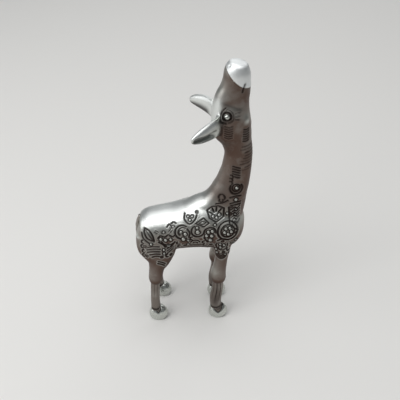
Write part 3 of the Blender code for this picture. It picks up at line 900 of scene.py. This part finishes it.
def worked_skin():
    """The whole skin, shaped and chased, with its polish, painted highlights, blacking and painted shade
    kept on it.
    """
    skin = Skin(one_skin())
    shape_head(skin)
    shape_ears(skin)
    for side in (-1, 1):
        chase_shoulder(skin, side)
        chase_barrel(skin, side)
        chase_rump(skin, side)
        chase_belly(skin, side)
        fill_flank(skin, side)
        chase_chest_and_neck(skin, side)
        chase_head(skin, side)
    chase_throat(skin)
    store(skin.mesh, "polish_and_highlight", polish_and_highlight_of(skin))
    store(skin.mesh, "painted_highlight", painted_highlight_of(skin))
    store(skin.mesh, "blacking_and_shade", blacking_and_shade_of(skin))
    skin.chase()
    return skin.mesh


# ---- cutting the skin into castings ----


def capped(shape):
    """Closes the open rims of a cut, with crisp edges."""
    rims = [edge for edge in shape.edges if edge.is_boundary]
    made = bmesh.ops.edgeloop_fill(shape, edges=rims)["faces"]
    for face in made:
        for edge in face.edges:
            edge.smooth = False
    return shape


def parted(shape, point, normal):
    """The two closed halves of a closed shape, before and beyond a plane."""
    halves = []
    for inner in (False, True):
        half = shape.copy()
        geometry = half.verts[:] + half.edges[:] + half.faces[:]
        bmesh.ops.bisect_plane(
            half, geom=geometry, plane_co=point, plane_no=normal, clear_inner=inner, clear_outer=not inner
        )
        halves.append(capped(half))
    shape.free()
    return halves


def kept_where(shape, test):
    """A copy of the parts of a shape whose points pass a test."""
    kept = shape.copy()
    bmesh.ops.delete(kept, geom=[vertex for vertex in kept.verts if not test(vertex.co)], context="VERTS")
    return kept


def side_name(side):
    """The animal's own left or right."""
    return "left" if side == 1 else "right"


def add_piece(name, shape, material, node=None):
    """Makes a bmesh in millimetres a piece of the model that stands for a CAD node."""
    for vertex in shape.verts:
        vertex.co = placed(vertex.co)
    for face in shape.faces:
        face.smooth = True
    mesh = bpy.data.meshes.new(name)
    shape.to_mesh(mesh)
    shape.free()
    mesh.materials.append(material)
    piece = bpy.data.objects.new(name, mesh)
    bpy.context.scene.collection.objects.link(piece)
    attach(piece, "root")
    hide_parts(node or name.removesuffix("_skin"))


def add_castings(mesh, material):
    """Cuts the skin at the CAD's joints into torso, neck, head, ears and upper legs."""
    whole = bmesh.new()
    whole.from_mesh(mesh)
    legs, trunk = parted(whole, (0, 0, HIP_Z), (0, 0, 1))
    for place, ahead in (("front", 1), ("hind", -1)):
        for side in (1, -1):
            leg = kept_where(legs, lambda co: co.x * ahead > 0 and co.y * side > 0)
            add_piece(f"{place}_{side_name(side)}_upper_leg_skin", leg, material)
    legs.free()
    torso, rest = parted(trunk, *NECK_SEAT)
    neck, head = parted(rest, *HEAD_SEAT)
    for side in (1, -1):
        seat = ear_point(EAR_SEAT, side)
        along = ear_point(EAR_SEAT + 0.1, side) - seat
        head, ear = parted(head, Vector(seat), Vector(along))
        add_piece(f"ear_{side_name(side)}_skin", ear, material)
    for name, shape in (("torso", torso), ("neck", neck), ("head", head)):
        add_piece(f"{name}_skin", shape, material)


# ---- separate pieces ----


def shell_mesh(outline, sides):
    """A turned shape from (radius, height) points, bottom to top, closed at both ends."""
    shape = bmesh.new()
    rings = []
    for radius, height in outline:
        ring = []
        for step in range(sides):
            angle = 2 * math.pi * step / sides
            ring.append(shape.verts.new((radius * math.cos(angle), radius * math.sin(angle), height)))
        rings.append(ring)
    close_rings(shape, rings)
    return shape


def add_values(shape, blacking_and_shade, polish_and_highlight):
    """Gives a piece's points the blacking and painted shade, and the polish and painted highlight, that
    its material reads.
    """
    cut = shape.verts.layers.float.new("blacking_and_shade")
    rub = shape.verts.layers.float.new("polish_and_highlight")
    for vertex in shape.verts:
        vertex[cut] = blacking_and_shade(vertex.co)
        vertex[rub] = polish_and_highlight(vertex.co)


def add_hoof(place, side, material):
    """A bulb hoof with a flat sole, and a V cut in it where the leg's foot ends."""
    centre_x = FRONT_HOOF_X if place == "front" else HIND_HOOF_X + hind_step(side)
    centre = Vector((centre_x, HOOF_Y[place] * side, HOOF_CENTRE_Z))
    outline = []
    for row in range(HOOF_ROWS + 1):
        polar = math.pi * row / HOOF_ROWS
        outline.append((max(math.sin(polar), 0.02), -math.cos(polar)))
    shape = shell_mesh(outline, HOOF_SIDES)
    sole = -HOOF_CENTRE_Z / HOOF_HALF[2]

    def above_notch(co):
        """How far a point of the unit ball lies above the V."""
        outward = abs(math.atan2(co.x, co.y * side))
        return co.z - (HOOF_NOTCH[place] + NOTCH_SLOPE * min(outward, NOTCH_SPREAD))

    def on_edge(co):
        """1 in the line along the V and 0 away from it."""
        return math.exp(-((above_notch(co) / NOTCH_CUT) ** 2))

    def on_foot(co):
        """1 on the leg's foot above the V and 0 on the hoof."""
        return float(smoothstep(-0.02, 0.06, np.array(above_notch(co))))

    add_values(shape, on_edge, lambda co: HOOF_POLISH - (HOOF_POLISH - FOOT_POLISH) * on_foot(co))
    for vertex in shape.verts:
        lift = 1.0 - NOTCH_CUT * on_edge(vertex.co) - FOOT_SET_IN * on_foot(vertex.co)
        x, y, z = vertex.co
        vertex.co = Vector((x * lift * HOOF_HALF[0], y * lift * HOOF_HALF[1], max(z, sole) * HOOF_HALF[2]))
        vertex.co += centre
    name = f"{place}_{side_name(side)}_hoof"
    add_piece(f"{name}_bulb", shape, material, name)


def add_shank(place, side, material):
    """A lower leg, fluted under the knee."""
    stations = FRONT_SHANK if place == "front" else stepped(HIND_SHANK, hind_step(side))
    stations = on_side(stations, side)
    rising = curve_through(stations, 20)[::-1]
    heights = [row[2] for row in rising]

    def flutes(share, angle):
        """Narrow grooves that run out half way down."""
        fade = 1 - smoothstep(0.35, 0.8, np.array(share))
        return 1 - FLUTE_DEPTH * float(fade) * max(0.0, math.cos(FLUTES * angle)) ** 3

    def dirt_and_shade(co):
        """Dark in the grooves, where the surface lies below the plain round, and a painted shadow round
        the foot.
        """
        centre_x, centre_y, radius = (
            np.interp(co.z, heights, [row[column] for row in rising]) for column in (0, 1, 3)
        )
        sunk = radius - math.hypot(co.x - centre_x, co.y - centre_y)
        # painted shadow where the shank enters the hoof
        foot = math.exp(-(((co.z - SHANK_FOOT_Z) / 0.7) ** 2))
        return float(np.clip(max((sunk - 0.08) / 0.45, foot), 0, 1))

    shape = bmesh.new()
    add_tube(shape, stations, sides=96, steps=20, radius_at=flutes)
    bmesh.ops.recalc_face_normals(shape, faces=shape.faces)
    add_values(shape, dirt_and_shade, lambda co: SHANK_POLISH)
    name = f"{place}_{side_name(side)}_shank"
    add_piece(f"{name}_fluted", shape, material, name)


def add_eye(side, material):
    """A bright eyeball with the ring of the iris cut in it."""
    outward = Vector(mirrored(EYE_LOOKS_TO, side)).normalized()
    centre = Vector(mirrored(EYE_CENTRE, side))
    shape = bmesh.new()
    bmesh.ops.create_uvsphere(shape, u_segments=48, v_segments=32, radius=EYE_RADIUS)
    turn = outward.to_track_quat("Z", "Y")
    for vertex in shape.verts:
        radius = math.hypot(vertex.co.x, vertex.co.y)
        in_front = vertex.co.z > 0
        ring = math.exp(-(((radius - IRIS_RADIUS) / IRIS_WIDTH) ** 2)) if in_front else 1.0
        vertex.co -= vertex.co.normalized() * IRIS_DEPTH * ring
        vertex.co = turn @ vertex.co + centre
    add_values(shape, lambda co: 0.0, lambda co: 1.0)
    name = f"eye_{side_name(side)}"
    add_piece(f"{name}_ball", shape, material, name)


def add_tail(material):
    """A tail twisted like a rope, down to its tuft."""

    def twist(share, angle):
        """Two strands wound round each other."""
        return 1 + STRAND_HEIGHT * math.cos(2 * angle + share * TAIL_TWIST)

    shape = bmesh.new()
    add_tube(shape, TAIL, sides=40, steps=24, radius_at=twist)
    bmesh.ops.recalc_face_normals(shape, faces=shape.faces)
    add_values(shape, lambda co: 0.0, lambda co: TAIL_POLISH)
    add_piece("tail_rope", shape, material, "tail")


# ---- materials ----

# PATINA also paints shade on the sides and SILVER paints highlight on up-facing skin, through the polish
# and highlight mask
PATINA = (0.115, 0.073, 0.057, 1)
SILVER = (0.60, 0.62, 0.585, 1)
# the pale colour of the painted highlights
HIGHLIGHT_WHITE = (0.86, 0.88, 0.88, 1)
# the colour of the blacking in cuts, and of painted shade
BLACKING_AND_SHADE_COLOUR = (0.018, 0.012, 0.010, 1)
CLOUD_SCALE = 260.0  # patches of uneven polish, some millimetres wide
GRAIN_SCALE = 1500.0  # the fine grain of the metal
BUMP_HEIGHT = 0.00012


def metal(name, base_roughness):
    """Silvery plate: bright where rubbed and where highlight is painted, brown where not, which paints
    shade on the sides, pale where a white highlight is painted, black in the cuts and where shade is
    painted.
    """
    made = bpy.data.materials.new(name)
    made.use_nodes = True
    nodes = made.node_tree.nodes
    links = made.node_tree.links
    shader = nodes["Principled BSDF"]
    shader.inputs["Metallic"].default_value = 1.0

    def feed(socket, value):
        """Gives an input a number, a colour or another node's output."""
        if isinstance(value, bpy.types.NodeSocket):
            links.new(value, socket)
        else:
            socket.default_value = value

    def value_of(attribute):
        """The node that reads one of the values kept on the points."""
        node = nodes.new("ShaderNodeAttribute")
        node.attribute_name = attribute
        return node.outputs["Fac"]

    def maths(operation, a, b):
        """A sum, product or difference of two values, kept from 0 to 1."""
        node = nodes.new("ShaderNodeMath")
        node.operation = operation
        node.use_clamp = True
        feed(node.inputs[0], a)
        feed(node.inputs[1], b)
        return node.outputs[0]

    def noise(scale, detail):
        """Noise in the object's own coordinates."""
        node = nodes.new("ShaderNodeTexNoise")
        node.inputs["Scale"].default_value = scale
        node.inputs["Detail"].default_value = detail
        links.new(coordinates.outputs["Object"], node.inputs["Vector"])
        return node.outputs["Fac"]

    def mixed(share, first, second):
        """A blend of two colours."""
        node = nodes.new("ShaderNodeMix")
        node.data_type = "RGBA"
        links.new(share, node.inputs["Factor"])
        feed(node.inputs[6], first)
        feed(node.inputs[7], second)
        return node.outputs[2]

    coordinates = nodes.new("ShaderNodeTexCoord")
    cloudy = noise(CLOUD_SCALE, 4.0)
    grain = noise(GRAIN_SCALE, 3.0)
    polish_and_highlight = value_of("polish_and_highlight")
    blacking_and_shade = value_of("blacking_and_shade")
    painted_highlight = value_of("painted_highlight")

    unevenness = maths("MULTIPLY", maths("SUBTRACT", cloudy, 0.5), 0.5)
    rubbed_and_highlit = maths("ADD", polish_and_highlight, unevenness)
    # PATINA where the mask is low, which paints shade on the sides; SILVER where it is high, which paints
    # highlight on up-facing skin
    colour = mixed(rubbed_and_highlit, PATINA, SILVER)
    colour = mixed(painted_highlight, colour, HIGHLIGHT_WHITE)
    # black in the cuts, and painted shade where the skin faces down, in the ears and round the shanks'
    # feet
    colour = mixed(maths("MULTIPLY", blacking_and_shade, 0.96), colour, BLACKING_AND_SHADE_COLOUR)
    links.new(colour, shader.inputs["Base Color"])

    dull = maths("SUBTRACT", base_roughness + 0.16, maths("MULTIPLY", rubbed_and_highlit, 0.1))
    dull = maths("ADD", dull, maths("MULTIPLY", blacking_and_shade, 0.2))
    dull = maths("ADD", dull, maths("MULTIPLY", maths("SUBTRACT", grain, 0.5), 0.12))
    dull = maths("ADD", dull, maths("MULTIPLY", painted_highlight, 0.16))
    links.new(dull, shader.inputs["Roughness"])

    bump = nodes.new("ShaderNodeBump")
    bump.inputs["Strength"].default_value = 0.12
    bump.inputs["Distance"].default_value = BUMP_HEIGHT
    relief = maths("ADD", maths("MULTIPLY", cloudy, 0.6), maths("MULTIPLY", grain, 0.4))
    links.new(relief, bump.inputs["Height"])
    links.new(bump.outputs["Normal"], shader.inputs["Normal"])
    return made


# ---- stage ----


FLOOR_SIZE = 40.0
FLOOR_COLOUR = (0.74, 0.73, 0.71, 1)
STUDIO_COLOUR = (0.40, 0.42, 0.43, 1)
STUDIO_STRENGTH = 0.4
LIGHT_AIM = (0, 0, 0.07)
SOFTBOXES = (  # name, place, width and height in metres, and radiance
    ("softbox_over", (-0.02, -0.05, 0.75), (1.0, 0.9), 1.5),
    ("softbox_key", (-0.42, -0.36, 0.62), (0.4, 0.4), 3.6),
    ("softbox_side", (-0.85, -0.15, 0.35), (0.5, 0.5), 2.2),
    ("softbox_back", (0.2, 0.75, 0.5), (0.9, 0.5), 1.0),
)


def plain(name, colour, roughness):
    """A plain matt material for the stage."""
    made = bpy.data.materials.new(name)
    made.use_nodes = True
    shader = made.node_tree.nodes["Principled BSDF"]
    shader.inputs["Base Color"].default_value = colour
    shader.inputs["Roughness"].default_value = roughness
    return made


def add_stage():
    """A pale floor, four softboxes and an evenly lit studio round them."""
    bpy.ops.mesh.primitive_plane_add(size=FLOOR_SIZE)
    floor = bpy.context.object
    floor.name = "floor"
    floor.data.materials.append(plain("pale_floor", FLOOR_COLOUR, 0.85))
    for name, spot, size, radiance in SOFTBOXES:
        data = bpy.data.lights.new(name, "AREA")
        data.shape = "RECTANGLE"
        data.size, data.size_y = size
        data.energy = radiance * math.pi * size[0] * size[1]
        light = bpy.data.objects.new(name, data)
        light.location = spot
        light.rotation_euler = (Vector(spot) - Vector(LIGHT_AIM)).to_track_quat("Z", "Y").to_euler()
        bpy.context.scene.collection.objects.link(light)
    world = bpy.data.worlds.new("studio")
    world.use_nodes = True
    studio = world.node_tree.nodes["Background"]
    studio.inputs["Color"].default_value = STUDIO_COLOUR
    studio.inputs["Strength"].default_value = STUDIO_STRENGTH
    bpy.context.scene.world = world


def add_camera():
    """The photographer's view, from the animal's right and above."""
    turn = math.radians(CAMERA_AZIMUTH)
    rise = math.radians(CAMERA_ELEVATION)
    back = Vector((math.sin(turn) * math.cos(rise), -math.cos(turn) * math.cos(rise), math.sin(rise)))
    data = bpy.data.cameras.new("camera")
    data.lens = CAMERA_LENS
    data.clip_start = 0.01
    camera = bpy.data.objects.new("camera", data)
    camera.location = placed(CAMERA_TARGET) + back * CAMERA_DISTANCE * MM
    camera.rotation_euler = back.to_track_quat("Z", "Y").to_euler()
    bpy.context.scene.collection.objects.link(camera)
    bpy.context.scene.camera = camera
    bpy.context.scene.view_settings.view_transform = "Standard"


add_camera()
add_stage()
plated = metal("plated_skin", 0.27)
bright = metal("plated_bright", 0.2)
add_castings(worked_skin(), plated)
for place in ("front", "hind"):
    for side in (1, -1):
        add_shank(place, side, plated)
        add_hoof(place, side, bright)
for side in (1, -1):
    add_eye(side, bright)
add_tail(plated)
